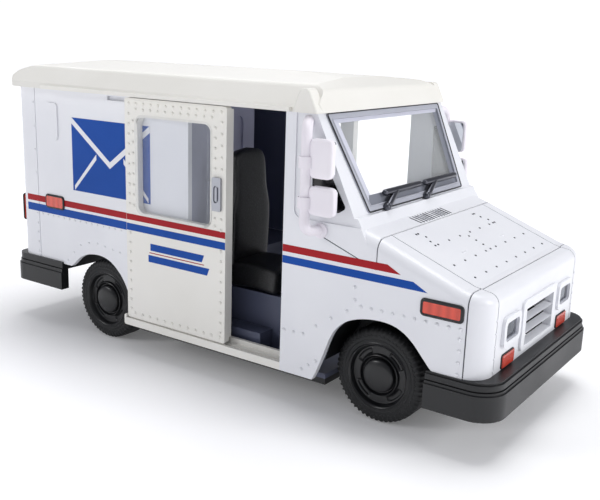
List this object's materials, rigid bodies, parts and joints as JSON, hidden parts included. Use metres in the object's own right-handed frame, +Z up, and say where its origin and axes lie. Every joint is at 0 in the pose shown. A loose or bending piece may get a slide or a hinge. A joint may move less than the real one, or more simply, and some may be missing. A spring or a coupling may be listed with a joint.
{
  "type": "mail delivery truck",
  "caption": "Right-hand-drive mail delivery van model with sliding side doors, sloped hood, step-in cab, cargo hold and rolling wheels.",
  "frame": {"origin": "on the ground under the middle of the truck", "axes": "+X to the front of the truck, +Y to its left side, +Z up"},
  "size_m": [0.1246, 0.0572, 0.0616],
  "materials": {
    "body_white": "gloss",
    "door_white": "gloss",
    "bumper_black": "matte",
    "interior": "satin",
    "partition_grey": "satin",
    "seat_black": "moulded grain",
    "tyre": "satin",
    "hub_black": "gloss",
    "steel": "satin",
    "lamp_clear": "gloss",
    "lamp_red": "gloss",
    "glass": "clear",
    "glass_black": "gloss",
    "gasket": "satin",
    "wiper": "satin",
    "silver": "satin",
    "bracket_black": "gloss",
    "mirror_white": "satin",
    "mirror": "mirror"
  },
  "bodies": {
    "truck": {"cab_body": "body_white", "cargo_body": "body_white", "chassis": "bumper_black", "chassis_screws": "steel", "dashboard": "interior", "driver_seat": "seat_black", "front_bumper": "bumper_black", "front_marker_left": "lamp_red", "front_marker_right": "lamp_red", "headlight_lens_left": "lamp_clear", "headlight_lens_right": "lamp_clear", "interior_tub": "interior", "mirror_bracket_left": "mirror_white", "mirror_bracket_right": "mirror_white", "mirror_glass_lower_left": "mirror", "mirror_glass_lower_right": "mirror", "mirror_glass_upper_left": "mirror", "mirror_glass_upper_right": "mirror", "mirror_head_lower_left": "mirror_white", "mirror_head_lower_right": "mirror_white", "mirror_head_upper_left": "mirror_white", "mirror_head_upper_right": "mirror_white", "partition": "partition_grey", "quarter_glass_left": "glass_black", "quarter_glass_right": "glass_black", "rear_bumper": "bumper_black", "rear_marker_left": "lamp_red", "rear_marker_right": "lamp_red", "rear_shutter": "body_white", "roof_cap": "door_white", "shutter_handle": "bracket_black", "sill_left": "body_white", "sill_right": "body_white", "steering_wheel": "bracket_black", "tail_lamp_left": "lamp_red", "tail_lamp_right": "lamp_red", "turn_lamp_left": "lamp_red", "turn_lamp_right": "lamp_red", "windshield": "glass", "windshield_gasket": "gasket", "wiper_left": "wiper", "wiper_right": "wiper"},
    "right_door": {"door_handle_right": "silver", "door_window_right": "glass", "sliding_door_right": "door_white"},
    "left_door": {"door_handle_left": "silver", "door_window_left": "glass", "sliding_door_left": "door_white"},
    "front_axle_set": {"front_axle": "steel", "hub_front_left": "hub_black", "hub_front_right": "hub_black", "tyre_front_left": "tyre", "tyre_front_right": "tyre"},
    "rear_axle_set": {"hub_rear_left": "hub_black", "hub_rear_right": "hub_black", "rear_axle": "steel", "tyre_rear_left": "tyre", "tyre_rear_right": "tyre"}
  },
  "joints": [
    {"name": "right_door_slide", "type": "slide", "parent": "truck", "child": "right_door", "axis": [1, 0, 0], "range_m": [0, 0.0139]},
    {"name": "left_door_slide", "type": "slide", "parent": "truck", "child": "left_door", "axis": [1, 0, 0], "range_m": [0, 0.0139]},
    {"name": "front_axle_spin", "type": "hinge", "parent": "truck", "child": "front_axle_set", "pos_m": [0.0381, 0, 0.00905], "axis": [0, 1, 0], "continuous": true},
    {"name": "rear_axle_spin", "type": "hinge", "parent": "truck", "child": "rear_axle_set", "pos_m": [-0.0328, 0, 0.00905], "axis": [0, 1, 0], "continuous": true}
  ]
}
